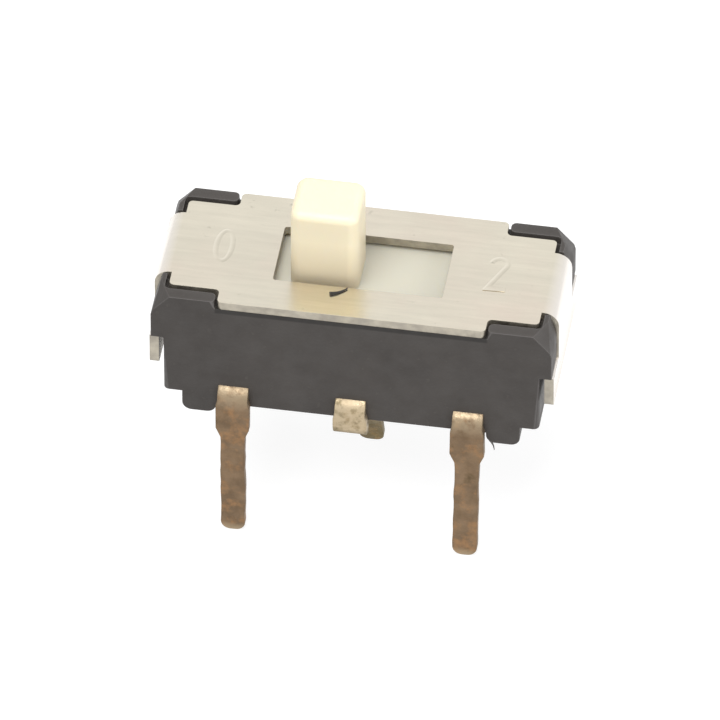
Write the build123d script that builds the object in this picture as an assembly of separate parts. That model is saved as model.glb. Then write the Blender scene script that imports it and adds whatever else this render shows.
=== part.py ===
from build123d import *
from math import radians, sin
import os

os.makedirs("parts", exist_ok=True)

# Miniature two-position slide switch with through-hole terminals, in millimetres.
# The origin is on the board plane, under the middle of the body. +X runs along the
# body, -Y faces the terminal side and +Z points away from the board.

# Moulded base
body_length = 8.0  # over the lower end walls
body_depth = 3.4
rim_height = 2.99  # board plane to the rim under the cover
middle_lift = 0.27  # board plane to the underside between the feet
end_lift = 0.52  # board plane to the underside outside the feet
end_wall = 0.55
side_wall = 0.45
wall_edge_radius = 0.12
rim_chamfer = 0.08  # along the end rims, clear of the cover's bends

# Feet under the base
foot_width = 0.72
foot_depth = 0.7
foot_inset = 0.4  # end wall to the outer side of the foot
foot_corner_radius = 0.2

# Corner posts that locate the cover
post_length = 1.1  # along X, measured in from the lower end wall
post_return = 0.73  # along Y, measured in from the front or rear face
post_wall = 0.28
post_side_wall = 0.25
shoulder_overhang = 0.26  # post beyond the lower end wall
shoulder_height = 2.01  # board plane to the underside of the shoulder
taper_x = 0.15  # the post's outer side leans in by this much
taper_z = 0.55  # over this height below its top
facet_x = 0.4
facet_y = 0.83
facet_z = 0.47
post_inner_chamfer = 0.1
post_edge_radius = 0.11

# Sheet-metal cover
cover_sheet = 0.2
cover_bend_inner = 0.15
cover_leg_stand = 0.1  # gap between the end wall and the leg
cover_edge_gap = 0.05  # plate edge to post, along X
cover_notch_gap = 0.12  # plate edge to the post's front wall, along Y
cover_end_gap = 0.08  # plate end to the post's side wall
leg_gap = 0.05  # leg edge to post
arm_gap = 0.05  # hooked arm to the shoulder above it
arm_height = 0.79
arm_setback = 0.08  # end of the arm behind the body's face
arm_corner_radius = 0.1
notch_radius = 0.1
window_depth = 1.64
window_end_gap = 0.32  # knob to the end of the window at the travel limits
window_corner_radius = 0.06
plate_setback = 0.01  # plate edge behind the body's face

# Slider with its knob
travel = 1.5
knob_length = 1.46
knob_depth = 1.28
knob_rise = 1.76  # above the cover
knob_edge_radius = 0.19
knob_top_radius = 0.18
slider_top_gap = 0.1  # slider to the cover above it
slider_side_gap = 0.05
slider_end_gap = 0.05
slider_floor_gap = 0.06
slider_roof = 0.5
skirt_wall = 0.25
spring_channel = 0.3  # slider's rear skirt to the rear wall

# Terminals
terminal_pitch = 2.5
terminal_sheet = 0.2
terminal_top = 0.82  # board plane to the upper face inside the body
terminal_stand = 0.2  # front face of the tines in front of the body
terminal_bend_inner = 0.12
neck_width = 0.65
shoulder_width = 0.72
shoulder_full_height = 0.35  # board plane to the start of the full width
shoulder_foot = -0.28  # board plane to the start of the taper
taper_foot = -0.53  # board plane to the end of the taper
tine_width = 0.52
tine_tip = -3.2
tine_tip_radius = 0.2
tine_lean = {"left": 0.0, "centre": 0.12, "right": -0.04}  # sideways set of each tip
pad_depth = 1.1
pad_inner = 1.15  # side pads: towards the middle from the terminal's centre line
pad_outer = 0.45  # side pads: towards the end wall
centre_pad_length = 1.6
floor_sink = 0.04  # cavity floor below the terminals' upper face
fold_height = 0.16  # centre terminal: board plane to the start of the fold
fold_radius = 0.14  # centre terminal: inner radius of the fold
fold_angle = 78.0  # centre terminal: how far the fold turns the tine back
bow_angle = 70.0  # centre terminal: how far the tine curves down again below it

# Moving contact
wiper_sheet = 0.1
wiper_side_gap = 0.1  # wiper to the rear skirt
wiper_reach = 1.25  # slider centre to each contact point
wiper_toe = 0.3  # turned-up toe beyond the contact point
wiper_toe_rise = 0.3
wiper_seat = 0.7  # flat length under the slider
wiper_radius = 0.12
contact_gap = 0.01
stake_radius = 0.2
stake_clearance = 0.02
stake_height = 0.22

# Click spring
click_sheet = 0.08
click_width = 0.7
click_length = 3.2
click_nose = 0.12  # depth of the nose past the rear wall's face
click_nose_half = 0.12
click_shoulder_half = 0.34
click_radius = 0.06
click_foot_gap = 0.02
notch_clearance = 0.03
click_hook = 0.25  # return bent into the slider at each end
click_slot_clearance = 0.02

# Places worked out from the sizes above
half_length = body_length / 2
half_depth = body_depth / 2
cavity_half_length = half_length - end_wall
cavity_half_depth = half_depth - side_wall
cavity_floor = terminal_top - floor_sink
plate_top = rim_height + cover_sheet
shoulder_half_length = half_length + shoulder_overhang
foot_outer = half_length - foot_inset
post_inner = half_length - post_length
post_return_face = half_depth - post_return
leg_inner = half_length + cover_leg_stand
leg_outer = leg_inner + cover_sheet
window_length = knob_length + travel + 2 * window_end_gap
slider_centre = -travel / 2
slider_half_length = cavity_half_length - travel / 2 - slider_end_gap
slider_half_depth = cavity_half_depth - slider_side_gap
slider_top = rim_height - slider_top_gap
slider_underside = slider_top - slider_roof
slider_foot = cavity_floor + slider_floor_gap
rear_skirt_face = cavity_half_depth - spring_channel
wiper_half_width = rear_skirt_face - skirt_wall - wiper_side_gap
terminal_face = half_depth + terminal_stand
click_height = (slider_foot + slider_underside) / 2


def box_between(low, high):
    """A box given by its lowest and highest corners."""
    size = [b - a for a, b in zip(low, high)]
    middle = [(a + b) / 2 for a, b in zip(low, high)]
    return Pos(*middle) * Box(*size)


def four_corners(shape):
    """The shape and its mirror images in all four corners of the plan."""
    pair = shape + mirror(shape, about=Plane.YZ)
    return pair + mirror(pair, about=Plane.XZ)


def bent_sheet(corners, radius, sheet):
    """Section of a folded sheet whose mid-line runs through the corners."""
    line = FilletPolyline(*corners, radius=radius)
    return trace(line, line_width=sheet)


def make_corner_post():
    """One post: an L in plan above the rim, a solid shoulder below it."""
    post = box_between(
        (post_inner, post_return_face, shoulder_height),
        (shoulder_half_length, half_depth, plate_top),
    )
    corner = Vector(shoulder_half_length, half_depth, plate_top)
    facet = Plane(
        origin=corner - Vector(facet_x, 0, 0),
        z_dir=Vector(1 / facet_x, 1 / facet_y, 1 / facet_z),
    )
    taper = Plane(
        origin=corner - Vector(taper_x, 0, 0),
        z_dir=Vector(1 / taper_x, 0, 1 / taper_z),
    )
    post = split(post, bisect_by=facet, keep=Keep.BOTTOM)
    post = split(post, bisect_by=taper, keep=Keep.BOTTOM)
    well = box_between(
        (0, 0, rim_height),
        (shoulder_half_length - post_side_wall, half_depth - post_wall, plate_top),
    )
    inner_corner = well.edges().filter_by(Axis.Z).group_by(Axis.X)[-1].sort_by(Axis.Y)[-1]
    well = chamfer(inner_corner, post_inner_chamfer)
    post = post - well
    inner_edges = post.edges().filter_by(Axis.Z).group_by(Axis.X)[0]
    return fillet(inner_edges, post_edge_radius)


def make_base(terminals):
    """The moulded base, formed round the terminals that it holds."""
    core = box_between(
        (-half_length, -half_depth, middle_lift),
        (half_length, half_depth, rim_height),
    )
    end_rims = core.edges().filter_by(Axis.Y).group_by(Axis.Z)[-1]
    core = chamfer(end_rims, rim_chamfer)
    core = fillet(core.edges().filter_by(Axis.Z), wall_edge_radius)
    end_relief = box_between(
        (foot_outer, -body_depth, 0), (body_length, body_depth, end_lift)
    )
    core = core - end_relief - mirror(end_relief, about=Plane.YZ)
    foot = box_between(
        (foot_outer - foot_width, half_depth - foot_depth, 0),
        (foot_outer, half_depth, max(end_lift, middle_lift)),
    )
    foot_edges = foot.edges().filter_by(Axis.Y).group_by(Axis.Z)[0]
    foot = fillet(foot_edges, foot_corner_radius)
    base = core + four_corners(foot) + four_corners(make_corner_post())
    base = base - box_between(
        (-cavity_half_length, -cavity_half_depth, cavity_floor),
        (cavity_half_length, cavity_half_depth, rim_height),
    )
    for stop in (-1, 1):
        base = base - Pos(stop * travel / 2, 0, 0) * make_click_notch()
    for terminal in terminals:
        base = base - terminal
    return base


def make_click_notch():
    """The V groove in the rear wall that the click spring's nose drops into."""
    depth = click_nose + notch_clearance
    face = cavity_half_depth
    mouth = click_shoulder_half + notch_clearance
    root = click_nose_half + notch_clearance
    outline = Polygon(
        (-mouth, face),
        (mouth, face),
        (root, face + depth),
        (-root, face + depth),
        align=None,
    )
    height = click_width / 2 + notch_clearance
    return Pos(0, 0, click_height - height) * extrude(outline, 2 * height)


def tine_outline(lean, wide_foot, narrow_top, tip_height):
    """Front view of the strip below its pad, from the neck to the rounded tip."""
    half_neck = neck_width / 2
    half_shoulder = shoulder_width / 2
    half_tine = tine_width / 2
    neck_foot = terminal_top - terminal_sheet
    outline = Polygon(
        (-half_neck, terminal_top),
        (-half_neck, neck_foot),
        (-half_shoulder, shoulder_full_height),
        (-half_shoulder, wide_foot),
        (-half_tine, narrow_top),
        (lean - half_tine, tip_height),
        (lean + half_tine, tip_height),
        (half_tine, narrow_top),
        (half_shoulder, wide_foot),
        (half_shoulder, shoulder_full_height),
        (half_neck, neck_foot),
        (half_neck, terminal_top),
        align=None,
    )
    tip = outline.vertices().group_by(Axis.Y)[0]
    return fillet(tip, tine_tip_radius)


def make_strip(line, outline, pad_low, pad_high):
    """A terminal, centred on X = 0: a pad, and a strip bent along the line."""
    pad = box_between(
        (pad_low, -pad_depth / 2, terminal_top - terminal_sheet),
        (pad_high, pad_depth / 2, terminal_top),
    )
    section = trace(line, line_width=terminal_sheet)
    strip = extrude(Plane.YZ * section, shoulder_width, both=True)
    front = extrude(Plane.XZ * outline, body_depth, both=True)
    return pad + (strip & front)


def bent_line(foot):
    """Mid-line of a strip: out from its pad, over the bend and down to the foot."""
    mid = terminal_sheet / 2
    return FilletPolyline(
        (-pad_depth / 2, terminal_top - mid),
        (mid - terminal_face, terminal_top - mid),
        (mid - terminal_face, foot),
        radius=terminal_bend_inner + mid,
    )


def make_terminal(pad_low, pad_high, lean):
    """A straight terminal."""
    outline = tine_outline(lean, shoulder_foot, taper_foot, tine_tip)
    return make_strip(bent_line(tine_tip), outline, pad_low, pad_high)


def make_folded_terminal(pad_low, pad_high, lean):
    """The centre terminal, whose tine has been folded back and bowed down again."""
    upper = bent_line(fold_height)
    fold = JernArc(upper @ 1, upper % 1, fold_radius + terminal_sheet / 2, fold_angle)
    bow_length = fold_height - tine_tip - fold.length
    bow = JernArc(fold @ 1, fold % 1, bow_length / radians(bow_angle), -bow_angle)
    wide_length = fold_height - shoulder_foot - fold.length
    narrow_length = fold_height - taper_foot - fold.length
    outline = tine_outline(
        lean,
        (bow @ (wide_length / bow_length)).Y,
        (bow @ (narrow_length / bow_length)).Y,
        (bow @ 1).Y - terminal_sheet / 2 * sin(radians(fold_angle - bow_angle)),
    )
    return make_strip(upper + fold + bow, outline, pad_low, pad_high)


def make_cover():
    """The cover: a plate with a window, and two end legs with hooked arms."""
    mid = cover_sheet / 2
    arm_top = shoulder_height - arm_gap
    arm_foot = arm_top - arm_height
    section = bent_sheet(
        [
            (mid - leg_outer, arm_foot),
            (mid - leg_outer, plate_top - mid),
            (leg_outer - mid, plate_top - mid),
            (leg_outer - mid, arm_foot),
        ],
        cover_bend_inner + mid,
        cover_sheet,
    )
    sheet = extrude(Plane.XZ * section, body_depth, both=True)
    plate_half_depth = half_depth - plate_setback
    tongue_half_length = post_inner - cover_edge_gap
    waist_half_length = shoulder_half_length - post_side_wall - cover_end_gap
    waist_half_depth = half_depth - post_wall - cover_notch_gap
    leg_half_width = post_return_face - leg_gap
    plan = Rectangle(2 * tongue_half_length, 2 * plate_half_depth)
    plan += Rectangle(2 * waist_half_length, 2 * waist_half_depth)
    plan = fillet(plan.vertices(), notch_radius)
    plan += Rectangle(2 * leg_outer, 2 * leg_half_width)
    window = Rectangle(window_length, window_depth)
    plan -= fillet(window.vertices(), window_corner_radius)
    bend_foot = plate_top - cover_sheet - cover_bend_inner
    plate = Pos(0, 0, bend_foot) * extrude(plan, plate_top - bend_foot)
    arms = Rectangle(2 * (half_depth - arm_setback), arm_height)
    arms = fillet(arms.vertices().group_by(Axis.Y)[0], arm_corner_radius)
    side = Pos(0, arm_foot + arm_height / 2) * arms
    leg_length = bend_foot - arm_foot
    side += Pos(0, arm_foot + leg_length / 2) * Rectangle(2 * leg_half_width, leg_length)
    legs = extrude(Plane.YZ * side, body_length, both=True)
    return sheet & (plate + legs)


def make_slider():
    """The slider: a knob on a flange, with skirts that run on the floor."""
    roof = box_between(
        (-slider_half_length, -slider_half_depth, slider_underside),
        (slider_half_length, slider_half_depth, slider_top),
    )
    front_skirt = box_between(
        (-slider_half_length, -slider_half_depth, slider_foot),
        (slider_half_length, skirt_wall - slider_half_depth, slider_underside),
    )
    rear_skirt = box_between(
        (-slider_half_length, rear_skirt_face - skirt_wall, slider_foot),
        (slider_half_length, rear_skirt_face, slider_underside),
    )
    slot = box_between(
        (click_length / 2 - click_sheet - click_slot_clearance, 0,
         click_height - click_width / 2 - click_slot_clearance),
        (click_length / 2 + click_slot_clearance, body_depth,
         click_height + click_width / 2 + click_slot_clearance),
    )
    rear_skirt = rear_skirt - slot - mirror(slot, about=Plane.YZ)
    knob = box_between(
        (-knob_length / 2, -knob_depth / 2, slider_underside),
        (knob_length / 2, knob_depth / 2, plate_top + knob_rise),
    )
    knob = fillet(knob.edges().filter_by(Axis.Z), knob_edge_radius)
    knob = fillet(knob.edges().group_by(Axis.Z)[-1], knob_top_radius)
    stake = Pos(0, 0, slider_underside - stake_height / 2) * Cylinder(
        stake_radius, stake_height
    )
    slider = roof + front_skirt + rear_skirt + knob + stake
    return Pos(slider_centre, 0, 0) * slider


def make_wiper():
    """The moving contact: a bowed strip that bridges two neighbouring pads."""
    mid = wiper_sheet / 2
    seat = slider_underside - mid
    touch = terminal_top + contact_gap + mid
    arm = Vector(wiper_reach - wiper_seat / 2, seat - touch)
    half_angle = arm.get_angle(Vector(-wiper_toe, wiper_toe_rise)) / 2
    touch -= wiper_radius * (1 / sin(radians(half_angle)) - 1)
    section = bent_sheet(
        [
            (-wiper_reach - wiper_toe, touch + wiper_toe_rise),
            (-wiper_reach, touch),
            (-wiper_seat / 2, seat),
            (wiper_seat / 2, seat),
            (wiper_reach, touch),
            (wiper_reach + wiper_toe, touch + wiper_toe_rise),
        ],
        wiper_radius,
        wiper_sheet,
    )
    strip = extrude(Plane.XZ * section, wiper_half_width, both=True)
    hole = Pos(0, 0, seat) * Cylinder(stake_radius + stake_clearance, 2 * wiper_sheet)
    return Pos(slider_centre, 0, 0) * (strip - hole)


def make_click_spring():
    """The leaf spring behind the slider, with a nose for the wall's notches."""
    mid = click_sheet / 2
    foot = rear_skirt_face + click_foot_gap + mid
    crest = cavity_half_depth - click_foot_gap - mid
    end = click_length / 2 - mid
    section = bent_sheet(
        [
            (-end, foot - click_hook),
            (-end, foot),
            (-click_shoulder_half, crest),
            (-click_nose_half, crest + click_nose),
            (click_nose_half, crest + click_nose),
            (click_shoulder_half, crest),
            (end, foot),
            (end, foot - click_hook),
        ],
        click_radius,
        click_sheet,
    )
    leaf = extrude(section, click_width)
    return Pos(slider_centre, 0, click_height - click_width / 2) * leaf


side_terminal = make_terminal(-pad_inner, pad_outer, tine_lean["right"])
left_side_terminal = mirror(
    make_terminal(-pad_inner, pad_outer, -tine_lean["left"]), about=Plane.YZ
)
centre_half = centre_pad_length / 2
pieces = {
    "left_terminal": Pos(-terminal_pitch, 0, 0) * left_side_terminal,
    "centre_terminal": make_folded_terminal(-centre_half, centre_half, tine_lean["centre"]),
    "right_terminal": Pos(terminal_pitch, 0, 0) * side_terminal,
}
pieces["base"] = make_base(list(pieces.values()))
pieces["cover"] = make_cover()
pieces["slider"] = make_slider()
pieces["wiper"] = make_wiper()
pieces["click_spring"] = make_click_spring()

for name, piece in pieces.items():
    export_step(piece, f"parts/{name}.step")
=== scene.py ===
import math

import bmesh
import bpy
from mathutils import Matrix, Vector, noise


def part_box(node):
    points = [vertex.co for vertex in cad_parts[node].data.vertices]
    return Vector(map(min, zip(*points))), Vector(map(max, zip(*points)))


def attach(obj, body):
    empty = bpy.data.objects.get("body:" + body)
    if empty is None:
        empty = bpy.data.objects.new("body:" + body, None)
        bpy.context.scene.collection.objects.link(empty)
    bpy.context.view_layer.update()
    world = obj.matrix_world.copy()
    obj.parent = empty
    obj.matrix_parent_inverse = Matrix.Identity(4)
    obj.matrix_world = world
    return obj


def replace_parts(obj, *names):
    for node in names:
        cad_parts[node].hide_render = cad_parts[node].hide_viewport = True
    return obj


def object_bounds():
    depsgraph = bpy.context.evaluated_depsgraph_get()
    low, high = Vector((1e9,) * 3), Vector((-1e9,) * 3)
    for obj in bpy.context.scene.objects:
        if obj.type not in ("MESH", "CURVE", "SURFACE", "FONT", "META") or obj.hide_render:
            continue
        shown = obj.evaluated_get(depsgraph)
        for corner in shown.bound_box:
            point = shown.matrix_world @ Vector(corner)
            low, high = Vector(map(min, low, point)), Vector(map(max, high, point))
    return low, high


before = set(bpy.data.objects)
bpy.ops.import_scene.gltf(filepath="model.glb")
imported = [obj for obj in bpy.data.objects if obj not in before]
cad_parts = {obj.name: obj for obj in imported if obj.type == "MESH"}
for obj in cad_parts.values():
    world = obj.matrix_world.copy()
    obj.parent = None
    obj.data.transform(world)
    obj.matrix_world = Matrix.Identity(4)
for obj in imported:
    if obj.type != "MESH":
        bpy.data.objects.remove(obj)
cad_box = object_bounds()
mm = 0.001


# ---------------------------------------------------------------------------
# Base. One moulding in black glass-filled thermoplastic: a box with four corner
# posts that locate the cover, shoulders that its arms hook under, and small feet
# that hold it off the board. It is scored, drawn out and eased from one block.
# ---------------------------------------------------------------------------
base_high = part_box("base")[1]
half_depth = base_high.y
shoulder_half_length = base_high.x
post_top = base_high.z
cover_sheet = 0.2 * mm
rim_height = post_top - cover_sheet
wall_half_length = 4.0 * mm
end_wall = 0.55 * mm
side_wall = 0.45 * mm
wall_corner = 0.12 * mm
well_half_length = wall_half_length - end_wall
well_half_depth = half_depth - side_wall
well_floor = 0.78 * mm
end_lift = 0.52 * mm
middle_lift = 0.27 * mm

post_length = 1.1 * mm
post_depth = 0.73 * mm
post_side_wall = 0.25 * mm
post_front_wall = 0.28 * mm
post_inner = wall_half_length - post_length
post_return = half_depth - post_depth
side_wall_face = shoulder_half_length - post_side_wall
front_wall_face = half_depth - post_front_wall
shoulder_underside = 2.01 * mm
post_facet = Vector((0.40, 0.83, 0.47)) * mm
post_taper = Vector((0.15, 0.0, 0.55)) * mm
post_inner_fill = 0.1 * mm
post_end = 0.11 * mm

foot_length = 0.72 * mm
foot_depth = 0.7 * mm
foot_outer = 3.6 * mm
foot_inner = foot_outer - foot_length
foot_face = half_depth - foot_depth
foot_corner = 0.2 * mm
base_edge = 0.03 * mm

upright = 0.9  # the part of a unit direction that counts as looking along an axis
hair = 1e-6  # slack for telling that a point lies on a line of the piece
sort_step = 1e-7  # places closer than this count as one when a mesh is put in order


def cut(bm, axis, places):
    """Scores the whole skin of a block at each place along one axis."""
    normal = Vector([float(k == axis) for k in range(3)])
    for place in places:
        bmesh.ops.bisect_plane(
            bm, geom=bm.verts[:] + bm.edges[:] + bm.faces[:], dist=1e-8,
            plane_co=normal * place, plane_no=normal,
        )


def block(low, high):
    """A new bmesh that holds one box."""
    bm = bmesh.new()
    bmesh.ops.create_cube(bm, size=1.0)
    bmesh.ops.scale(bm, verts=bm.verts, vec=Vector(high) - Vector(low))
    bmesh.ops.translate(bm, verts=bm.verts, vec=(Vector(high) + Vector(low)) / 2)
    return bm


def grown(bm, wanted):
    """Grows a new wall round the faces that wanted(centre, normal) picks, takes the old
    faces and stray scored lines away, and gives the vertices of the moved faces."""
    bm.normal_update()
    faces = [f for f in bm.faces if wanted(f.calc_center_median(), f.normal)]
    result = bmesh.ops.extrude_face_region(bm, geom=faces)
    bmesh.ops.delete(bm, geom=[f for f in faces if f.is_valid], context="FACES_ONLY")
    bmesh.ops.delete(bm, geom=[e for e in bm.edges if not e.link_faces], context="EDGES")
    return [g for g in result["geom"] if isinstance(g, bmesh.types.BMVert)]


def drawn(bm, wanted, shift):
    """Draws the picked faces out in a straight line."""
    bmesh.ops.translate(bm, verts=grown(bm, wanted), vec=shift)


def trimmed(bm, point, normal):
    """Slices off what lies beyond a plane and closes the cut."""
    result = bmesh.ops.bisect_plane(
        bm, geom=bm.verts[:] + bm.edges[:] + bm.faces[:], dist=1e-8,
        plane_co=point, plane_no=normal, clear_outer=True,
    )
    rim = [e for e in result["geom_cut"] if isinstance(e, bmesh.types.BMEdge)]
    bmesh.ops.holes_fill(bm, edges=rim, sides=0)


def ordered(bm):
    """Builds the mesh again in an order that only its shape decides. The steps before
    can leave another order on each run, and joining and rounding depend on it."""
    verts = sorted(bm.verts, key=lambda v: tuple(round(c / sort_step) for c in v.co))
    rank = {vert: k for k, vert in enumerate(verts)}
    faces = []
    for face in bm.faces:
        ring = [rank[v] for v in face.verts]
        first = ring.index(min(ring))
        faces.append((ring[first:] + ring[:first], face.material_index))
    places = [v.co.copy() for v in verts]
    bm.clear()
    verts = [bm.verts.new(place) for place in places]
    for ring, material in sorted(faces):
        bm.faces.new([verts[k] for k in ring]).material_index = material


def cleaned(bm):
    """Merges doubled points, turns faces outwards and joins flat neighbours."""
    bmesh.ops.remove_doubles(bm, verts=bm.verts, dist=1e-7)
    bmesh.ops.recalc_face_normals(bm, faces=bm.faces)
    bmesh.ops.dissolve_limit(bm, angle_limit=0.002, verts=bm.verts, edges=bm.edges)


def rounded(bm, wanted, width, segments=4, material=-1):
    """Rounds the edges that wanted(middle, direction, turn) picks."""
    edges = []
    for edge in bm.edges:
        if edge.is_manifold:
            ends = [v.co for v in edge.verts]
            run = (ends[1] - ends[0]).normalized()
            if wanted((ends[0] + ends[1]) / 2, run, edge.calc_face_angle()):
                edges.append(edge)
    bmesh.ops.bevel(
        bm, geom=edges, offset=width, offset_type="OFFSET", affect="EDGES",
        segments=segments, profile=0.5, clamp_overlap=True, material=material,
    )


def finished(bm, name, body, materials, smooth=0.6):
    """Makes the piece from its bmesh, with its materials, riding on its body."""
    bmesh.ops.recalc_face_normals(bm, faces=bm.faces)
    mesh = bpy.data.meshes.new(name)
    bm.to_mesh(mesh)
    bm.free()
    for polygon in mesh.polygons:
        polygon.use_smooth = True
    mesh.set_sharp_from_angle(angle=smooth)
    piece = bpy.data.objects.new(name, mesh)
    bpy.context.scene.collection.objects.link(piece)
    for material in materials:
        mesh.materials.append(material)
    weighted = piece.modifiers.new("even shading", "WEIGHTED_NORMAL")
    weighted.keep_sharp = True
    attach(piece, body)
    return piece


def new_group(name, inputs, outputs):
    """An empty shader group with named inputs (name, kind, value) and outputs."""
    group = bpy.data.node_groups.new(name, "ShaderNodeTree")
    for label, kind, value in inputs:
        socket = group.interface.new_socket(name=label, in_out="INPUT", socket_type=kind)
        socket.default_value = value
    for label, kind in outputs:
        group.interface.new_socket(name=label, in_out="OUTPUT", socket_type=kind)
    return group, group.nodes.new("NodeGroupInput"), group.nodes.new("NodeGroupOutput")


def node(tree, kind, values=(), **settings):
    """One shader node with its settings, and a value for each named input."""
    made = tree.nodes.new(kind)
    for key, value in settings.items():
        setattr(made, key, value)
    for key, value in dict(values).items():
        made.inputs[key].default_value = value
    return made


def make_mottle():
    """Soft patches: a mask from 0 to 1 from noise on the surface."""
    group, given, out = new_group(
        "mottle",
        [("Size", "NodeSocketFloat", 1000.0), ("Stretch", "NodeSocketVector", (1, 1, 1)),
         ("Low", "NodeSocketFloat", 0.35), ("High", "NodeSocketFloat", 0.65)],
        [("Mask", "NodeSocketFloat")],
    )
    place = node(group, "ShaderNodeTexCoord")
    mapping = node(group, "ShaderNodeVectorMath", operation="MULTIPLY")
    cloud = node(group, "ShaderNodeTexNoise", {"Detail": 5.0, "Roughness": 0.6})
    spread = node(group, "ShaderNodeMapRange")
    link = group.links.new
    link(place.outputs["Object"], mapping.inputs[0])
    link(given.outputs["Stretch"], mapping.inputs[1])
    link(mapping.outputs[0], cloud.inputs["Vector"])
    link(given.outputs["Size"], cloud.inputs["Scale"])
    link(cloud.outputs["Fac"], spread.inputs["Value"])
    link(given.outputs["Low"], spread.inputs["From Min"])
    link(given.outputs["High"], spread.inputs["From Max"])
    link(spread.outputs["Result"], out.inputs["Mask"])
    return group


def make_edge_wear_and_highlight():
    """A mask of 1 along rounded edges and 0 on flats, from the bend of the skin."""
    group, given, out = new_group(
        "edge wear and highlight",
        [("Reach", "NodeSocketFloat", 0.00003), ("High", "NodeSocketFloat", 0.2)],
        [("Mask", "NodeSocketFloat")],
    )
    bevel = node(group, "ShaderNodeBevel")
    bevel.samples = 6
    skin = node(group, "ShaderNodeNewGeometry")
    match = node(group, "ShaderNodeVectorMath", operation="DOT_PRODUCT")
    turn = node(group, "ShaderNodeMath", {0: 1.0}, operation="SUBTRACT")
    spread = node(group, "ShaderNodeMapRange", {"From Min": 0.0})
    link = group.links.new
    link(given.outputs["Reach"], bevel.inputs["Radius"])
    link(bevel.outputs["Normal"], match.inputs[0])
    link(skin.outputs["True Normal"], match.inputs[1])
    link(match.outputs["Value"], turn.inputs[1])
    link(turn.outputs[0], spread.inputs["Value"])
    link(given.outputs["High"], spread.inputs["From Max"])
    link(spread.outputs["Result"], out.inputs["Mask"])
    return group


mottle = make_mottle()
edge_wear_and_highlight = make_edge_wear_and_highlight()


def new_material(name, constants):
    """A Principled material; constants are values on the shader's own sockets."""
    material = bpy.data.materials.new(name)
    material.use_nodes = True
    shader = material.node_tree.nodes["Principled BSDF"]
    for key, value in constants.items():
        shader.inputs[key].default_value = value
    return material, material.node_tree, shader


def patches(tree, size, low=0.35, high=0.65, stretch=(1, 1, 1)):
    """The mottle group placed in a material; gives its mask output."""
    made = node(tree, "ShaderNodeGroup", node_tree=mottle)
    made.inputs["Size"].default_value = size
    made.inputs["Stretch"].default_value = stretch
    made.inputs["Low"].default_value = low
    made.inputs["High"].default_value = high
    return made.outputs["Mask"]


def edges_of(tree, reach, high):
    """The edge wear and highlight group placed in a material; gives its mask output."""
    made = node(tree, "ShaderNodeGroup", {"Reach": reach, "High": high}, node_tree=edge_wear_and_highlight)
    return made.outputs["Mask"]


def blended(tree, mask, first, second):
    """A colour that goes from first to second as the mask goes from 0 to 1."""
    mix = node(tree, "ShaderNodeMix", data_type="RGBA")
    tree.links.new(mask, mix.inputs["Factor"])
    for label, colour in (("A", first), ("B", second)):
        socket = [s for s in mix.inputs if s.name == label and s.type == "RGBA"][0]
        if isinstance(colour, bpy.types.NodeSocket):
            tree.links.new(colour, socket)
        else:
            socket.default_value = (*colour, 1.0)
    return [s for s in mix.outputs if s.type == "RGBA"][0]


def ranged(tree, mask, low, high, start=0.0, end=1.0):
    """A value that goes from low to high as the mask goes from start to end."""
    spread = node(
        tree, "ShaderNodeMapRange",
        {"From Min": start, "From Max": end, "To Min": low, "To Max": high},
    )
    tree.links.new(mask, spread.inputs["Value"])
    return spread.outputs["Result"]


def product(tree, first, second):
    """A mask that is 1 only where both masks are."""
    both = node(tree, "ShaderNodeMath", operation="MULTIPLY")
    tree.links.new(first, both.inputs[0])
    tree.links.new(second, both.inputs[1])
    return both.outputs[0]


def places_of(tree):
    """Where a point lies on the piece: its distance out from the middle, and its height."""
    place = node(tree, "ShaderNodeTexCoord")
    along = node(tree, "ShaderNodeSeparateXYZ")
    outward = node(tree, "ShaderNodeMath", operation="ABSOLUTE")
    tree.links.new(place.outputs["Object"], along.inputs[0])
    tree.links.new(along.outputs["X"], outward.inputs[0])
    return outward.outputs[0], along.outputs["Z"]


def bumped(tree, shader, height, distance, strength=1.0):
    """Relief on the shader's normal, distance deep in metres."""
    bump = node(tree, "ShaderNodeBump", {"Strength": strength, "Distance": distance})
    tree.links.new(height, bump.inputs["Height"])
    tree.links.new(bump.outputs["Normal"], shader.inputs["Normal"])


def make_moulded_black():
    """Glass-filled black: cloudy and dusty, with a painted highlight that makes its edges pale,
    and a painted shadow line where the cover meets the walls between the posts."""
    material, tree, shader = new_material("moulded black", {"Specular IOR Level": 0.45})
    link = tree.links.new
    black, grey_black = (0.045, 0.039, 0.035), (0.057, 0.050, 0.045)
    dust, painted_edge_highlight, painted_shadow_line = (0.11, 0.10, 0.09), (0.17, 0.16, 0.155), (0.010, 0.008, 0.006)
    colour = blended(tree, patches(tree, 900.0, 0.35, 0.68), black, grey_black)
    dusty = ranged(tree, patches(tree, 5200.0, 0.62, 0.74), 0.0, 0.3)
    colour = blended(tree, dusty, colour, dust)
    # Painted highlight: the base's edges are lightened to stand in for the light they catch.
    edge_highlight_mask = ranged(tree, edges_of(tree, 0.03 * mm, 0.12), 0.0, 0.6)
    colour = blended(tree, edge_highlight_mask, colour, painted_edge_highlight)
    outward, height = places_of(tree)
    # Painted shadow: a dark line on the walls just under the cover's edge, between the posts.
    under_cover = ranged(tree, height, 0.0, 0.9, rim_height - 0.13 * mm, rim_height - 0.09 * mm)
    off_posts = ranged(tree, outward, 1.0, 0.0, post_inner - 0.03 * mm, post_inner + 0.01 * mm)
    colour = blended(tree, product(tree, under_cover, off_posts), colour, painted_shadow_line)
    link(colour, shader.inputs["Base Color"])
    link(ranged(tree, patches(tree, 2600.0), 0.46, 0.62), shader.inputs["Roughness"])
    bumped(tree, shader, patches(tree, 14000.0, 0.3, 0.7), 0.004 * mm, 0.7)
    return material


moulded_black = make_moulded_black()


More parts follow.
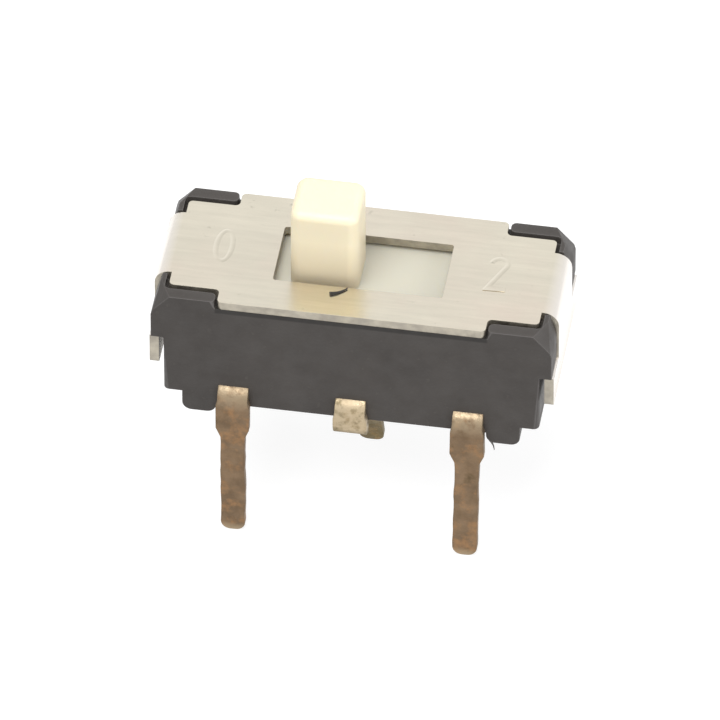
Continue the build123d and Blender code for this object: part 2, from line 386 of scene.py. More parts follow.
def make_base():
    bm = block(
        (-wall_half_length, -half_depth, end_lift), (wall_half_length, half_depth, rim_height)
    )
    cut(bm, 0, (-foot_outer, -post_inner, post_inner, foot_outer))
    cut(bm, 1, (-post_return, post_return))
    cut(bm, 2, (shoulder_underside,))
    for side in (-1, 1):
        drawn(
            bm,
            lambda c, n: n.x * side > upright
            and abs(c.y) > post_return and c.z > shoulder_underside,
            (side * (shoulder_half_length - wall_half_length), 0, 0),
        )
    drawn(bm, lambda c, n: n.z < -upright and abs(c.x) < foot_outer, (0, 0, middle_lift - end_lift))
    cut(bm, 0, (-foot_inner, foot_inner))
    cut(bm, 1, (-foot_face, foot_face))
    drawn(
        bm,
        lambda c, n: n.z < -upright and foot_inner < abs(c.x) < foot_outer and abs(c.y) > foot_face,
        (0, 0, -middle_lift),
    )
    cut(bm, 0, (-side_wall_face, side_wall_face))
    cut(bm, 1, (-front_wall_face, front_wall_face))
    drawn(
        bm,
        lambda c, n: n.z > upright and abs(c.x) > post_inner and abs(c.y) > post_return
        and (abs(c.x) > side_wall_face or abs(c.y) > front_wall_face),
        (0, 0, post_top - rim_height),
    )
    cleaned(bm)
    rounded(
        bm,
        lambda m, d, turn: turn > 1 and abs(d.z) > upright and m.z > rim_height
        and abs(abs(m.x) - side_wall_face) < hair and abs(abs(m.y) - front_wall_face) < hair,
        post_inner_fill, 2,
    )
    rounded(
        bm,
        lambda m, d, turn: turn > 1 and abs(d.z) > upright and m.z > rim_height
        and abs(abs(m.x) - post_inner) < hair,
        post_end,
    )
    rounded(
        bm,
        lambda m, d, turn: turn > 1 and abs(d.z) > upright and m.z < shoulder_underside
        and abs(abs(m.x) - wall_half_length) < hair,
        wall_corner,
    )
    for side_x in (-1, 1):
        corner = Vector((side_x * shoulder_half_length, 0, post_top))
        lean = Vector((side_x / post_taper.x, 0, 1 / post_taper.z)).normalized()
        trimmed(bm, corner - Vector((side_x * post_taper.x, 0, 0)), lean)
        for side_y in (-1, 1):
            corner.y = side_y * half_depth
            slope = Vector((side_x / post_facet.x, side_y / post_facet.y, 1 / post_facet.z))
            trimmed(bm, corner - Vector((side_x * post_facet.x, 0, 0)), slope.normalized())
    cut(bm, 0, (-well_half_length, well_half_length))
    cut(bm, 1, (-well_half_depth, well_half_depth))
    drawn(
        bm,
        lambda c, n: n.z > upright and abs(c.x) < well_half_length and abs(c.y) < well_half_depth,
        (0, 0, well_floor - rim_height),
    )
    cleaned(bm)
    rounded(
        bm, lambda m, d, turn: turn > 1 and abs(d.y) > upright and m.z < hair, foot_corner, 6
    )
    rounded(bm, lambda m, d, turn: turn > 0.35, base_edge, 3)
    return finished(bm, "moulded_base", "housing", [moulded_black])


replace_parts(make_base(), "base")


# ---------------------------------------------------------------------------
# Terminals. Three strips of tinned copper alloy, blanked, bent down in front of
# the body and moulded into it. The tin has stained brown, and the middle strip's
# tine has been folded back under the body.
# ---------------------------------------------------------------------------
terminal_pitch = 2.5 * mm
terminal_sheet = 0.2 * mm
terminal_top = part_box("left_terminal")[1].z
terminal_face = -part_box("left_terminal")[0].y
tine_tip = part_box("left_terminal")[0].z
pad_half_depth = 0.55 * mm
neck_width = 0.65 * mm
shoulder_width = 0.72 * mm
tine_width = 0.52 * mm
shoulder_full = 0.35 * mm
shoulder_foot = -0.28 * mm
taper_foot = -0.53 * mm
tip_corner = 0.2 * mm
bend_inner = 0.12 * mm
bend_radius = bend_inner + terminal_sheet
fold_height = 0.16 * mm
fold_inner = 0.14 * mm
fold_radius = fold_inner + terminal_sheet
fold_angle = math.radians(78.0)
bow_angle = math.radians(70.0)
fold_length = fold_angle * (fold_radius - terminal_sheet / 2)
bow_length = fold_height - tine_tip - fold_length
sheared_edge = 0.022 * mm
edge_wander = 0.016 * mm
straight_run = 1.5 * mm


def newest(result):
    """The edge at the end of an extrusion and its two vertices."""
    verts = [g for g in result if isinstance(g, bmesh.types.BMVert)]
    edges = [g for g in result if isinstance(g, bmesh.types.BMEdge)]
    return [e for e in edges if all(v in verts for v in e.verts)][0]


def ran_on(bm, edge, shift, width=None):
    """Runs the strip on from its end edge, and sets its width there."""
    edge = newest(bmesh.ops.extrude_edge_only(bm, edges=[edge])["geom"])
    bmesh.ops.translate(bm, verts=edge.verts, vec=shift)
    if width:
        middle = (edge.verts[0].co + edge.verts[1].co) / 2
        bmesh.ops.scale(
            bm, verts=edge.verts, space=Matrix.Translation(-middle),
            vec=(width / edge.calc_length(), 1, 1),
        )
    return edge


def swept(bm, edge, centre, angle, steps):
    """Bends the strip on from its end edge about a line along X."""
    result = bmesh.ops.spin(
        bm, geom=[edge, *edge.verts], cent=centre, axis=(1, 0, 0), dvec=(0, 0, 0),
        angle=angle, steps=steps,
    )
    return newest(result["geom_last"])


def bowed(bm, edge, lean):
    """Curves the folded tine down again in short straight steps, to its tip."""
    steps = 16
    wide = (fold_height - shoulder_foot - fold_length) / bow_length
    narrow = (fold_height - taper_foot - fold_length) / bow_length
    outer = bow_length + bow_angle * terminal_sheet / 2
    for k in range(steps):
        angle = fold_angle - bow_angle * (k + 0.5) / steps
        along = min(max(((k + 1) / steps - wide) / (narrow - wide), 0.0), 1.0)
        shift = Vector((0, math.sin(angle), -math.cos(angle))) * outer / steps
        shift.x = lean / steps
        width = shoulder_width + (tine_width - shoulder_width) * along
        edge = ran_on(bm, edge, shift, width)
    return edge


def neck_of(bm, middle_x):
    """The edge between the two scored lines at the front of the contact pad."""
    for edge in bm.edges:
        middle = (edge.verts[0].co + edge.verts[1].co) / 2
        if middle.y < -0.9 * pad_half_depth and abs(middle.x - middle_x) < hair:
            return edge


def wandered(bm, middle_x):
    """Lets the two long edges of a straight tine wander a little, as an old, dulled die leaves
    them.
    """
    runs = [
        e for e in bm.edges
        if e.calc_length() > straight_run and abs(e.verts[0].co.y) > half_depth
    ]
    bmesh.ops.subdivide_edges(bm, edges=runs, cuts=14, use_grid_fill=True)
    for v in bm.verts:
        if v.co.z < shoulder_full:
            side = 1 if v.co.x > middle_x else -1
            along = Vector((side * 7 + middle_x / mm, v.co.y / mm, v.co.z / mm * 3.1))
            v.co.x += edge_wander * noise.noise(along)


def make_terminal(name, middle_x, pad_low, pad_high, lean, folded):
    bm = bmesh.new()
    bmesh.ops.create_grid(bm, x_segments=1, y_segments=1, size=0.5)
    bmesh.ops.scale(bm, verts=bm.verts, vec=(pad_high - pad_low, 2 * pad_half_depth, 1))
    pad_middle = middle_x + (pad_low + pad_high) / 2
    bmesh.ops.translate(bm, verts=bm.verts, vec=(pad_middle, 0, terminal_top))
    cut(bm, 0, (middle_x - neck_width / 2, middle_x + neck_width / 2))
    bend_line = (0, bend_radius - terminal_face, terminal_top - bend_radius)
    edge = ran_on(bm, neck_of(bm, middle_x), (0, pad_half_depth + bend_line[1], 0))
    edge = swept(bm, edge, bend_line, math.pi / 2, 8)
    edge = ran_on(bm, edge, (0, 0, shoulder_full - bend_line[2]), shoulder_width)
    if folded:
        edge = ran_on(bm, edge, (0, 0, fold_height - shoulder_full))
        edge = swept(bm, edge, (0, fold_radius - terminal_face, fold_height), fold_angle, 8)
        tip = bowed(bm, edge, lean)
    else:
        edge = ran_on(bm, edge, (0, 0, shoulder_foot - shoulder_full), shoulder_width)
        edge = ran_on(bm, edge, (0, 0, taper_foot - shoulder_foot), tine_width)
        tip = ran_on(bm, edge, (lean, 0, tine_tip - taper_foot), tine_width)
    bmesh.ops.bevel(
        bm, geom=list(tip.verts), offset=tip_corner, offset_type="OFFSET", affect="VERTICES",
        segments=6, profile=0.5, material=-1,
    )
    if not folded:
        wandered(bm, middle_x)
    bmesh.ops.recalc_face_normals(bm, faces=bm.faces)
    top = max(bm.faces, key=lambda f: f.calc_center_median().z)
    if top.normal.z < 0:
        bmesh.ops.reverse_faces(bm, faces=bm.faces)
    bmesh.ops.solidify(bm, geom=bm.faces[:], thickness=terminal_sheet)
    cleaned(bm)
    rounded(bm, lambda m, d, turn: turn > 1.2, sheared_edge, 2)
    piece = finished(bm, name + "_metal", "housing", [stained_metal[folded]])
    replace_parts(piece, name)


def make_stained_metal(name, brown, pale, dark, pale_from, pale_to, pale_share):
    """Tin over copper alloy, stained brown, with the tin still pale near the body."""
    material, tree, shader = new_material(name, {"Specular IOR Level": 0.5})
    link = tree.links.new
    deep = [c * 0.72 for c in brown]
    coppery = (brown[0] * 1.4, brown[1] * 1.18, brown[2] * 0.95)
    colour = blended(tree, patches(tree, 2300.0, 0.36, 0.66), brown, deep)
    bare = ranged(tree, patches(tree, 3400.0, 0.5, 0.68), 0.0, 0.8)
    colour = blended(tree, bare, colour, coppery)
    colour = blended(tree, patches(tree, 1500.0, 0.60, 0.74), colour, dark)
    height = places_of(tree)[1]
    near_body = ranged(tree, height, 0.0, pale_share, pale_from, pale_to)
    tinned = product(tree, near_body, patches(tree, 4200.0, 0.30, 0.52))
    colour = blended(tree, tinned, colour, pale)
    at_tip = ranged(tree, height, 0.7, 0.0, tine_tip, tine_tip + 1.1 * tip_corner)
    colour = blended(tree, at_tip, colour, pale)
    rim = ranged(tree, edges_of(tree, 0.06 * mm, 0.25), 0.0, 0.6)
    colour = blended(tree, rim, colour, dark)
    link(colour, shader.inputs["Base Color"])
    link(ranged(tree, patches(tree, 3000.0), 0.75, 0.95), shader.inputs["Metallic"])
    link(ranged(tree, patches(tree, 5000.0), 0.38, 0.62), shader.inputs["Roughness"])
    bumped(tree, shader, patches(tree, 6500.0, 0.3, 0.7), 0.012 * mm, 0.8)
    return material


stained_metal = {
    False: make_stained_metal(
        "stained tin", (0.245, 0.165, 0.098), (0.46, 0.37, 0.25), (0.10, 0.07, 0.035),
        0.25 * mm, 0.75 * mm, 0.75,
    ),
    True: make_stained_metal(
        "bright tin", (0.225, 0.175, 0.09), (0.53, 0.43, 0.29), (0.11, 0.085, 0.035),
        -0.12 * mm, 0.10 * mm, 1.0,
    ),
}
make_terminal("left_terminal", -terminal_pitch, -0.45 * mm, 1.15 * mm, 0.0, False)
make_terminal("centre_terminal", 0.0, -0.8 * mm, 0.8 * mm, 0.12 * mm, True)
make_terminal("right_terminal", terminal_pitch, -1.15 * mm, 0.45 * mm, -0.04 * mm, False)


# ---------------------------------------------------------------------------
# Moving contact and click spring. Two small stampings inside the base: the contact,
# in silvered bronze, is staked under the slider, and the click spring, in steel
# tempered to a straw colour, is hooked into its rear skirt.
# ---------------------------------------------------------------------------
def make_spring_metal(name, colour, tarnish):
    """Rolled strip: bright along its grain, tarnished in soft patches."""
    material, tree, shader = new_material(name, {"Metallic": 1.0})
    shade = blended(tree, patches(tree, 1800.0, 0.4, 0.7), colour, tarnish)
    tree.links.new(shade, shader.inputs["Base Color"])
    grain = (1.0, 8.0, 8.0)
    rough = ranged(tree, patches(tree, 6000.0, 0.3, 0.7, grain), 0.22, 0.38)
    tree.links.new(rough, shader.inputs["Roughness"])
    bumped(tree, shader, patches(tree, 9000.0, 0.3, 0.7, grain), 0.002 * mm, 0.6)
    return material


for name, colour, tarnish in (
    ("wiper", (0.80, 0.74, 0.62), (0.62, 0.50, 0.33)),
    ("click_spring", (0.66, 0.52, 0.30), (0.50, 0.36, 0.20)),
):
    metal = make_spring_metal(name + " metal", colour, tarnish)
    for place in bpy.data.objects[name].material_slots:
        place.material = metal


# ---------------------------------------------------------------------------
# Slider. One moulding in ivory acetal: the knob that a finger pushes, on a flange
# that fills the window from below, with two skirts that run on the base's floor.
# ---------------------------------------------------------------------------
slider_low, slider_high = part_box("slider")
slider_middle = (slider_low.x + slider_high.x) / 2
flange_top = 2.89 * mm
flange_sheet = 0.5 * mm
knob_foot = flange_top + 0.01 * mm
knob_half_length = 0.73 * mm
knob_half_depth = 0.64 * mm
knob_corner = 0.24 * mm
knob_crown = 0.18 * mm
skirt_wall = 0.25 * mm
rear_skirt = 0.95 * mm
spring_slot = (1.5 * mm, 1.62 * mm)
spring_slot_heights = (1.245 * mm, 1.985 * mm)
stake_radius = 0.2 * mm
stake_height = 0.22 * mm
stake_root = 0.02 * mm
moulded_edge = 0.03 * mm


def holed(bm, wanted):
    """Opens a way through a wall between the faces picked on its two sides."""
    bm.normal_update()
    faces = [f for f in bm.faces if wanted(f.calc_center_median(), f.normal)]
    rims = list(dict.fromkeys(e for f in faces for e in f.edges))
    bmesh.ops.delete(bm, geom=faces, context="FACES_ONLY")
    bmesh.ops.bridge_loops(bm, edges=rims)


def make_ivory():
    """Acetal: ivory, with painted shade that deepens it towards the knob's foot, and a darker,
    cooler white painted on the flange for the shade it sits in below the window.
    """
    material, tree, shader = new_material(
        "ivory acetal",
        {"Specular IOR Level": 0.4, "Subsurface Weight": 0.35, "Subsurface Scale": 0.3 * mm,
         "Subsurface Radius": (1.0, 0.8, 0.5)},
    )
    link = tree.links.new
    painted_foot_shade, deeper_painted_foot_shade = (0.56, 0.48, 0.34), (0.52, 0.44, 0.31)
    ivory_top_colour, shaded_white = (0.90, 0.81, 0.60), (0.60, 0.58, 0.49)
    height = places_of(tree)[1]
    # Painted shade: the knob darkens towards its foot, standing in for the shade near the cover.
    knob = blended(tree, patches(tree, 700.0), painted_foot_shade, deeper_painted_foot_shade)
    towards_top = ranged(tree, height, 0.0, 1.0, knob_foot, knob_foot + 1.3 * mm)
    knob = blended(tree, towards_top, knob, ivory_top_colour)
    # Painted shade: the flange, the same acetal as the knob, is given a darker, cooler white for
    # the shade below the window.
    above_flange = ranged(tree, height, 0.0, 1.0, knob_foot, knob_foot + 0.05 * mm)
    colour = blended(tree, above_flange, shaded_white, knob)
    link(colour, shader.inputs["Base Color"])
    link(ranged(tree, patches(tree, 2500.0), 0.36, 0.5), shader.inputs["Roughness"])
    bumped(tree, shader, patches(tree, 8000.0, 0.3, 0.7), 0.003 * mm, 0.6)
    return material


def make_slider():
    bm = block(
        (slider_low.x, slider_low.y, flange_top - flange_sheet),
        (slider_high.x, slider_high.y, flange_top),
    )
    underside = flange_top - flange_sheet
    knob_x = (slider_middle - knob_half_length, slider_middle + knob_half_length)
    cut(bm, 0, knob_x)
    cut(bm, 1, (-knob_half_depth, knob_half_depth))
    drawn(
        bm,
        lambda c, n: n.z > upright and knob_x[0] < c.x < knob_x[1] and abs(c.y) < knob_half_depth,
        (0, 0, slider_high.z - flange_top),
    )
    ordered(bm)
    cleaned(bm)
    cut(bm, 1, (slider_low.y + skirt_wall, rear_skirt - skirt_wall, rear_skirt))
    drawn(
        bm,
        lambda c, n: n.z < -upright
        and (c.y < slider_low.y + skirt_wall or rear_skirt - skirt_wall < c.y < rear_skirt),
        (0, 0, slider_low.z - underside),
    )
    slots = [slider_middle + side * place for side in (-1, 1) for place in spring_slot]
    cut(bm, 0, slots)
    cut(bm, 2, spring_slot_heights)
    for side in (-1, 1):
        holed(
            bm,
            lambda c, n: abs(n.y) > upright and 0.5 * mm < c.y < rear_skirt + hair
            and spring_slot[0] < side * (c.x - slider_middle) < spring_slot[1]
            and spring_slot_heights[0] < c.z < spring_slot_heights[1],
        )
    ordered(bm)
    cleaned(bm)
    rounded(
        bm, lambda m, d, turn: turn > 1 and abs(d.z) > upright and m.z > flange_top, knob_corner, 6
    )
    rounded(
        bm, lambda m, d, turn: turn > 1 and abs(d.z) < 1 - upright and m.z > slider_high.z - hair,
        knob_crown, 6,
    )
    rounded(
        bm, lambda m, d, turn: turn > 1 and m.z < flange_top + hair
        and not (knob_x[0] - hair < m.x < knob_x[1] + hair and abs(m.y) < knob_half_depth + hair),
        moulded_edge, 2,
    )
    stake = Matrix.Translation((slider_middle, 0, underside - 0.5 * stake_height + stake_root))
    bmesh.ops.create_cone(
        bm, cap_ends=True, segments=32, radius1=stake_radius, radius2=stake_radius,
        depth=stake_height + 2 * stake_root, matrix=stake,
    )
    return finished(bm, "ivory_slider", "slide", [make_ivory()], 0.7)


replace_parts(make_slider(), "slider")


# ---------------------------------------------------------------------------
# Cover. A blank of nickel-plated steel with a window for the knob. Its two ends are
# bent down over the base, and the arms at their feet are hooked under the shoulders.
# ---------------------------------------------------------------------------
cover_low, cover_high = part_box("cover")
cover_bend_inner = 0.15 * mm
bend_outer = cover_sheet + cover_bend_inner
bend_start = cover_high.x - bend_outer
plate_half_depth = cover_high.y
slip = 0.05 * mm
end_gap = 0.08 * mm
notch_gap = 0.12 * mm
tongue_half_length = post_inner - slip
waist_half_length = side_wall_face - end_gap
waist_half_depth = front_wall_face - notch_gap
leg_half_width = post_return - slip
window_half_length = 1.8 * mm
window_half_depth = 0.82 * mm
window_corner = 0.06 * mm
notch_corner = 0.1 * mm
arm_top = shoulder_underside - slip
arm_foot = cover_low.z
arm_setback = 0.08 * mm
arm_reach = half_depth - arm_setback
arm_corner = 0.1 * mm
rolled_edge = 0.045 * mm


def make_plating(name, stamped):
    """Dull nickel with fine rolling lines and soft stains, with a painted highlight on the bends;
    the stamped beads get a painted highlight on one flank and painted shade on the other."""
    material, tree, shader = new_material(
        name, {"Metallic": 1.0, "Coat Weight": 0.25, "Coat Roughness": 0.3}
    )
    link = tree.links.new
    nickel, grey_nickel = (0.795, 0.74, 0.615), (0.73, 0.68, 0.565)
    stain, rolling_line, speck = (0.76, 0.64, 0.55), (0.53, 0.50, 0.42), (0.38, 0.35, 0.28)
    painted_bend_highlight, painted_flank_highlight, painted_flank_shade = (0.88, 0.84, 0.81), (0.97, 0.92, 0.80), (0.46, 0.43, 0.35)
    colour = blended(tree, patches(tree, 420.0, 0.3, 0.7), nickel, grey_nickel)
    stained = ranged(tree, patches(tree, 260.0, 0.45, 0.65), 0.0, 0.6)
    colour = blended(tree, stained, colour, stain)
    rolled = ranged(tree, patches(tree, 2600.0, 0.3, 0.75, (0.25, 3.0, 1.0)), 0.0, 0.28)
    colour = blended(tree, rolled, colour, rolling_line)
    specked = ranged(tree, patches(tree, 5200.0, 0.66, 0.75), 0.0, 0.35)
    colour = blended(tree, specked, colour, speck)
    outward, height = places_of(tree)
    # Painted highlight: the bends and legs are lightened to stand in for their bright grazing
    # reflection.
    round_bend = ranged(tree, outward, 0.0, 1.0, bend_start, cover_high.x)
    up_leg = ranged(tree, height, 0.0, 1.0, 1.0 * mm, 2.0 * mm)
    colour = blended(tree, product(tree, round_bend, up_leg), colour, painted_bend_highlight)
    if stamped:
        # Painted light: bead flanks facing back and left are lightened and flanks facing the other
        # way darkened, as if lit from there.
        face = node(tree, "ShaderNodeNewGeometry")
        flank = node(tree, "ShaderNodeVectorMath", operation="DOT_PRODUCT")
        flank.inputs[1].default_value = (-0.6, 0.8, 0.0)
        link(face.outputs["Normal"], flank.inputs[0])
        slope = flank.outputs["Value"]
        colour = blended(tree, ranged(tree, slope, 0.0, 0.5, 0.0, 0.3), colour, painted_flank_highlight)
        colour = blended(tree, ranged(tree, slope, 0.45, 0.0, -0.3, 0.0), colour, painted_flank_shade)
    link(colour, shader.inputs["Base Color"])
    link(ranged(tree, patches(tree, 1100.0), 0.17, 0.27), shader.inputs["Roughness"])
    bumped(tree, shader, patches(tree, 3600.0, 0.3, 0.7, (0.4, 2.0, 1.0)), 0.003 * mm, 0.6)
    return material


def make_sheared():
    """The steel's own grey on the cut edges, where the plating is thin."""
    material, tree, shader = new_material("sheared edge", {"Metallic": 1.0})
    colour = blended(tree, patches(tree, 3000.0), (0.50, 0.46, 0.38), (0.36, 0.33, 0.28))
    tree.links.new(colour, shader.inputs["Base Color"])
    tree.links.new(ranged(tree, patches(tree, 5000.0), 0.42, 0.6), shader.inputs["Roughness"])
    bumped(tree, shader, patches(tree, 6000.0, 0.3, 0.7, (3.0, 3.0, 0.5)), 0.004 * mm, 0.7)
    return material


plating = make_plating("nickel plate", False)
sheared = make_sheared()


def make_cover():
    bm = bmesh.new()
    bmesh.ops.create_grid(bm, x_segments=1, y_segments=1, size=0.5)
    bmesh.ops.scale(bm, verts=bm.verts, vec=(2 * bend_start, 2 * plate_half_depth, 1))
    bmesh.ops.translate(bm, verts=bm.verts, vec=(0, 0, cover_high.z))
    for axis, places in (
        (0, (window_half_length, tongue_half_length, waist_half_length)),
        (1, (window_half_depth, leg_half_width, waist_half_depth)),
    ):
        cut(bm, axis, [side * place for place in places for side in (-1, 1)])
    waste = []
    for face in bm.faces:
        x, y = (abs(c) for c in face.calc_center_median().xy)
        notch = x > tongue_half_length and y > waist_half_depth
        relief = x > waist_half_length and y > leg_half_width
        window = x < window_half_length and y < window_half_depth
        if notch or relief or window:
            waste.append(face)
    bmesh.ops.delete(bm, geom=waste, context="FACES")
    result = bmesh.ops.extrude_face_region(bm, geom=bm.faces[:], use_keep_orig=True)
    lower = [g for g in result["geom"] if isinstance(g, bmesh.types.BMVert)]
    bmesh.ops.translate(bm, verts=lower, vec=(0, 0, -cover_sheet))
    ordered(bm)
    cleaned(bm)
    rounded(
        bm, lambda m, d, turn: turn > 1 and abs(d.z) > upright
        and abs(m.x) < window_half_length + hair and abs(m.y) < window_half_depth + hair,
        window_corner,
    )
    rounded(
        bm, lambda m, d, turn: turn > 1 and abs(d.z) > upright
        and tongue_half_length - hair < abs(m.x) < waist_half_length + hair
        and abs(m.y) > leg_half_width + hair,
        notch_corner,
    )
    steps = 8
    tilt = math.pi / 2 / steps
    for side in (-1, 1):
        pivot = Vector((side * bend_start, 0, cover_high.z - bend_outer))
        for k in range(steps):
            facing = Vector((side * math.cos(k * tilt), 0, -math.sin(k * tilt)))
            verts = grown(
                bm, lambda c, n: n.dot(facing) > 0.999 and side * c.x > waist_half_length
                and abs(c.y) < leg_half_width and (k > 0 or side * c.x > bend_start - hair),
            )
            turn = Matrix.Rotation(side * tilt, 3, "Y")
            bmesh.ops.rotate(bm, verts=verts, cent=pivot, matrix=turn)
    for level in (arm_top, arm_foot):
        verts = grown(bm, lambda c, n: n.z < -0.999 and abs(c.x) > cover_high.x - cover_sheet)
        bmesh.ops.translate(bm, verts=verts, vec=(0, 0, level - verts[0].co.z))
    for side in (-1, 1):
        drawn(
            bm,
            lambda c, n: n.y * side > 0.999 and arm_foot < c.z < arm_top,
            (0, side * (arm_reach - leg_half_width), 0),
        )
    ordered(bm)
    cleaned(bm)
    rounded(
        bm, lambda m, d, turn: turn > 1 and abs(d.x) > upright and abs(m.y) > arm_reach - hair
        and m.z < arm_foot + hair,
        arm_corner,
    )
    bm.normal_update()
    for face in bm.faces:
        centre, normal = face.calc_center_median(), face.normal
        window_end = abs(normal.x) > 0.5 and abs(centre.x) < waist_half_length - hair
        if abs(normal.y) > 0.5 or window_end or (normal.z < -0.5 and centre.z < arm_top - hair):
            face.material_index = 1
    rounded(bm, lambda m, d, turn: turn > 1.2, rolled_edge, 3, 1)
    return finished(bm, "plated_cover", "housing", [plating, sheared], 0.7)


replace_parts(make_cover(), "cover")


# ---------------------------------------------------------------------------
# Numerals. The two positions are stamped in the cover as 0 and 2. They stand up as low
# beads, with a painted highlight on one flank and painted shade on the other, and are hard to read.
# ---------------------------------------------------------------------------
numeral_half_height = 0.52 * mm
numeral_half_width = 0.23 * mm
bead_width = 0.12 * mm
bead_height = 0.014 * mm
bead_flank = 0.34 * bead_width
bead_root = 0.03 * mm
two_bow_sweep = math.radians(215.0)
nought_place = Vector((-2.97, 0.04, 0)) * mm
two_place = Vector((2.84, 0.09, 0)) * mm


def raised(bm, place):
    """Turns flat ribbons into low beads that stand on the plate."""
    bmesh.ops.inset_region(
        bm, faces=bm.faces[:], thickness=bead_flank, use_even_offset=True, use_boundary=True
    )
    crest = [v for v in bm.verts if not any(e.is_boundary for e in v.link_edges)]
    bmesh.ops.translate(bm, verts=crest, vec=(0, 0, bead_height))
    rims = [e for e in bm.edges if e.is_boundary]
    skirt = bmesh.ops.extrude_edge_only(bm, edges=rims)["geom"]
    foot = [g for g in skirt if isinstance(g, bmesh.types.BMVert)]
    bmesh.ops.translate(bm, verts=foot, vec=(0, 0, -bead_root))
    bmesh.ops.holes_fill(bm, edges=[e for e in bm.edges if e.is_boundary], sides=0)
    bmesh.ops.translate(bm, verts=bm.verts, vec=place + Vector((0, 0, cover_high.z)))


def make_nought():
    """A flat oval ring."""
    bm = bmesh.new()
    rings = []
    for inset in (0.0, bead_width):
        ring = bmesh.ops.create_circle(bm, segments=40, radius=1.0)["verts"]
        bmesh.ops.scale(
            bm, verts=ring, vec=(numeral_half_width - inset, numeral_half_height - inset, 1)
        )
        rings += list(dict.fromkeys(e for v in ring for e in v.link_edges))
    bmesh.ops.bridge_loops(bm, edges=rings)
    return bm


def make_two():
    """A flat ribbon: a bow, a slanting stroke and a foot, mitred where they meet."""
    bm = bmesh.new()
    half_bead = Vector((0, bead_width / 2, 0))
    bow = numeral_half_width - bead_width / 2
    centre = Vector((0, numeral_half_height - bow, 0)) - half_bead
    ends = [bm.verts.new(centre - Vector((bow + side * bead_width / 2, 0, 0))) for side in (1, -1)]
    result = bmesh.ops.spin(
        bm, geom=[bm.edges.new(ends), *ends], cent=centre, axis=(0, 0, 1), dvec=(0, 0, 0),
        angle=-two_bow_sweep, steps=18,
    )
    edge = newest(result["geom_last"])
    heel = Vector((-bow, -numeral_half_height, 0)) + half_bead
    stroke = (heel - (edge.verts[0].co + edge.verts[1].co) / 2).normalized()
    mitre = (Vector((1, 0, 0)) - stroke).normalized()
    reach = mitre * bead_width / 2 / math.sin(stroke.angle(Vector((-1, 0, 0))) / 2)
    edge = newest(bmesh.ops.extrude_edge_only(bm, edges=[edge])["geom"])
    outer, inner = sorted(edge.verts, key=lambda v: v.co.dot(mitre))
    outer.co, inner.co = heel - reach, heel + reach
    edge = newest(bmesh.ops.extrude_edge_only(bm, edges=[edge])["geom"])
    lower, upper = sorted(edge.verts, key=lambda v: v.co.y)
    toe = heel + Vector((2 * bow + bead_width / 2, 0, 0))
    lower.co, upper.co = toe - half_bead, toe + half_bead
    return bm


stamped_plating = make_plating("stamped nickel plate", True)
for name, bm, place in (
    ("stamped_nought", make_nought(), nought_place), ("stamped_two", make_two(), two_place),
):
    raised(bm, place)
    finished(bm, name, "housing", [stamped_plating])


# ---------------------------------------------------------------------------
# Slivers. A hair of black flash lies on the cover in front of the knob, and another
# hangs from the base beside the right front foot, as they were left by the mould.
# ---------------------------------------------------------------------------
sliver_radius = 0.042 * mm
sliver_taper = 0.82


def make_sliver(name, start, end, sag, radius):
    """A tapered hair from start to end, bowed by sag in the middle."""
    bm = bmesh.new()
    ring = bmesh.ops.create_circle(bm, segments=8, radius=radius)["verts"]
    run = end - start
    turn = run.to_track_quat("Z", "Y").to_matrix()
    bmesh.ops.rotate(bm, verts=ring, matrix=turn, cent=(0, 0, 0))
    bmesh.ops.translate(bm, verts=ring, vec=start)
    edges = bm.edges[:]
    bmesh.ops.holes_fill(bm, edges=edges, sides=0)
    steps = 6
    for k in range(steps):
        made = bmesh.ops.extrude_edge_only(bm, edges=edges)["geom"]
        verts = [g for g in made if isinstance(g, bmesh.types.BMVert)]
        edges = [
            g for g in made
            if isinstance(g, bmesh.types.BMEdge) and all(v in verts for v in g.verts)
        ]
        bow = sag * 4 * (1 - 2 * (k + 0.5) / steps) / steps
        bmesh.ops.translate(bm, verts=verts, vec=run / steps + bow)
        middle = sum((v.co for v in verts), Vector()) / len(verts)
        bmesh.ops.scale(
            bm, verts=verts, vec=Vector.Fill(3, sliver_taper), space=Matrix.Translation(-middle)
        )
    bmesh.ops.holes_fill(bm, edges=edges, sides=0)
    finished(bm, name, "housing", [moulded_black])


on_plate = cover_high.z + 0.6 * sliver_radius
make_sliver(
    "flash_on_cover", Vector((-0.54 * mm, -1.08 * mm, on_plate)),
    Vector((-0.20 * mm, -0.86 * mm, on_plate)), Vector((0.02, -0.03, 0.0)) * mm, sliver_radius,
)
make_sliver(
    "flash_on_foot", Vector((2.97 * mm, 0.02 * mm - half_depth, 0.05 * mm)),
    Vector((3.06 * mm, -half_depth, -0.2 * mm)), Vector((0.02, 0.0, 0.0)) * mm,
    0.7 * sliver_radius,
)


# ---------------------------------------------------------------------------
# Stage. A white floor just under the tips of the terminals, a broad soft lamp above
# and in front, a fill from the right, and a long lens that looks down from the front.
# ---------------------------------------------------------------------------
scene = bpy.context.scene
scene.view_settings.view_transform = "Standard"
floor_half_size = 0.6
floor_clearance = 0.02 * mm
floor_glow = 0.74
floor_paint = 0.38
daylight = 0.62


def seen_directly(tree):
    """1 for rays from the camera and for mirrored and refracted ones, else 0."""
    path = node(tree, "ShaderNodeLightPath")
    seen = path.outputs["Is Camera Ray"]
    for ray in ("Is Glossy Ray", "Is Transmission Ray"):
        either = node(tree, "ShaderNodeMath", operation="MAXIMUM")
        tree.links.new(seen, either.inputs[0])
        tree.links.new(path.outputs[ray], either.inputs[1])
        seen = either.outputs[0]
    return seen


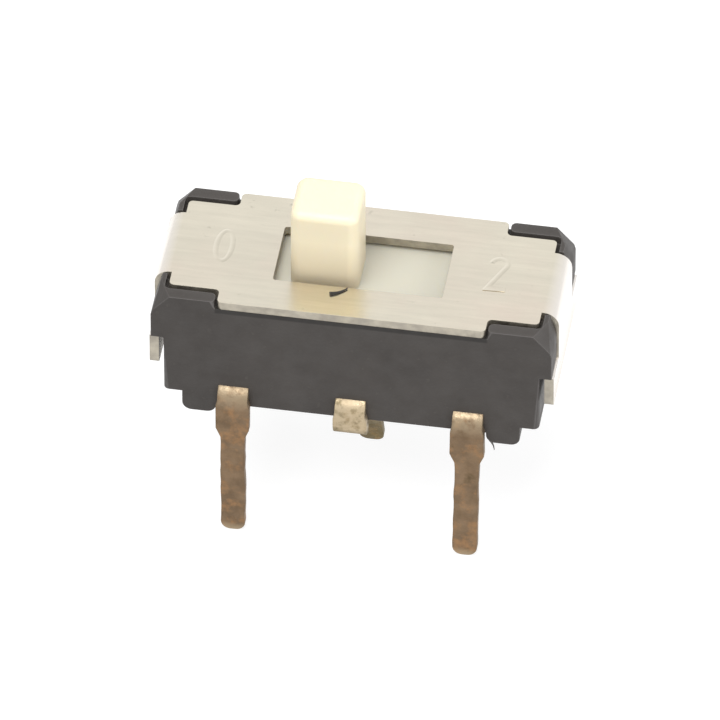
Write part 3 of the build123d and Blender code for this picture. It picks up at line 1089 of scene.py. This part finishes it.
def make_floor():
    """White to the eye, with a dull paint under the glow that takes the soft shadow."""
    bm = bmesh.new()
    bmesh.ops.create_grid(bm, x_segments=1, y_segments=1, size=floor_half_size)
    bmesh.ops.translate(bm, verts=bm.verts, vec=(0, 0, cad_box[0].z - floor_clearance))
    mesh = bpy.data.meshes.new("floor")
    bm.to_mesh(mesh)
    bm.free()
    floor = bpy.data.objects.new("floor", mesh)
    scene.collection.objects.link(floor)
    material = bpy.data.materials.new("pale floor")
    material.use_nodes = True
    tree = material.node_tree
    tree.nodes.clear()
    link = tree.links.new
    glow = node(tree, "ShaderNodeEmission", {"Color": (1.0, 1.0, 1.0, 1.0)})
    link(ranged(tree, seen_directly(tree), 0.0, floor_glow), glow.inputs["Strength"])
    paint = node(tree, "ShaderNodeBsdfDiffuse", {"Color": (*[floor_paint] * 3, 1.0)})
    both = node(tree, "ShaderNodeAddShader")
    link(glow.outputs[0], both.inputs[0])
    link(paint.outputs[0], both.inputs[1])
    surface = node(tree, "ShaderNodeOutputMaterial")
    link(both.outputs[0], surface.inputs["Surface"])
    mesh.materials.append(material)


make_floor()


def make_world():
    """A white surround that lights the piece less than it shows."""
    world = bpy.data.worlds.new("studio")
    scene.world = world
    world.use_nodes = True
    tree = world.node_tree
    background = tree.nodes["Background"]
    level = ranged(tree, seen_directly(tree), daylight, 1.0)
    tree.links.new(level, background.inputs["Strength"])
    background.inputs["Color"].default_value = (1.0, 1.0, 1.0, 1.0)


make_world()


def soft_light(name, place, size, power, colour=(1.0, 1.0, 1.0)):
    """A round lamp that looks at the middle of the piece."""
    data = bpy.data.lights.new(name, "AREA")
    data.shape = "DISK"
    data.size = size
    data.energy = power
    data.color = colour
    lamp = bpy.data.objects.new(name, data)
    lamp.location = place
    lamp.rotation_euler = (-Vector(place)).to_track_quat("-Z", "Y").to_euler()
    scene.collection.objects.link(lamp)


soft_light("overhead", (-0.04, -0.10, 0.25), 0.20, 0.55)
soft_light("right_fill", (0.26, -0.07, 0.10), 0.15, 0.30, (0.97, 0.98, 1.0))

camera_azimuth = math.radians(9.1)
camera_elevation = math.radians(43.8)
camera_target = Vector((-0.075, 0.0, 0.333)) * mm
view_width = 15.206 * mm
camera_distance = 0.40
back = Vector((
    math.sin(camera_azimuth) * math.cos(camera_elevation),
    -math.cos(camera_azimuth) * math.cos(camera_elevation),
    math.sin(camera_elevation),
))
camera_data = bpy.data.cameras.new("camera")
camera_data.sensor_width = 36.0
camera_data.lens = camera_data.sensor_width * camera_distance / view_width
camera_data.clip_start = 0.01
camera_data.clip_end = 10.0
camera = bpy.data.objects.new("camera", camera_data)
camera.location = camera_target + back * camera_distance
camera.rotation_euler = (-back).to_track_quat("-Z", "Y").to_euler()
scene.collection.objects.link(camera)
scene.camera = camera
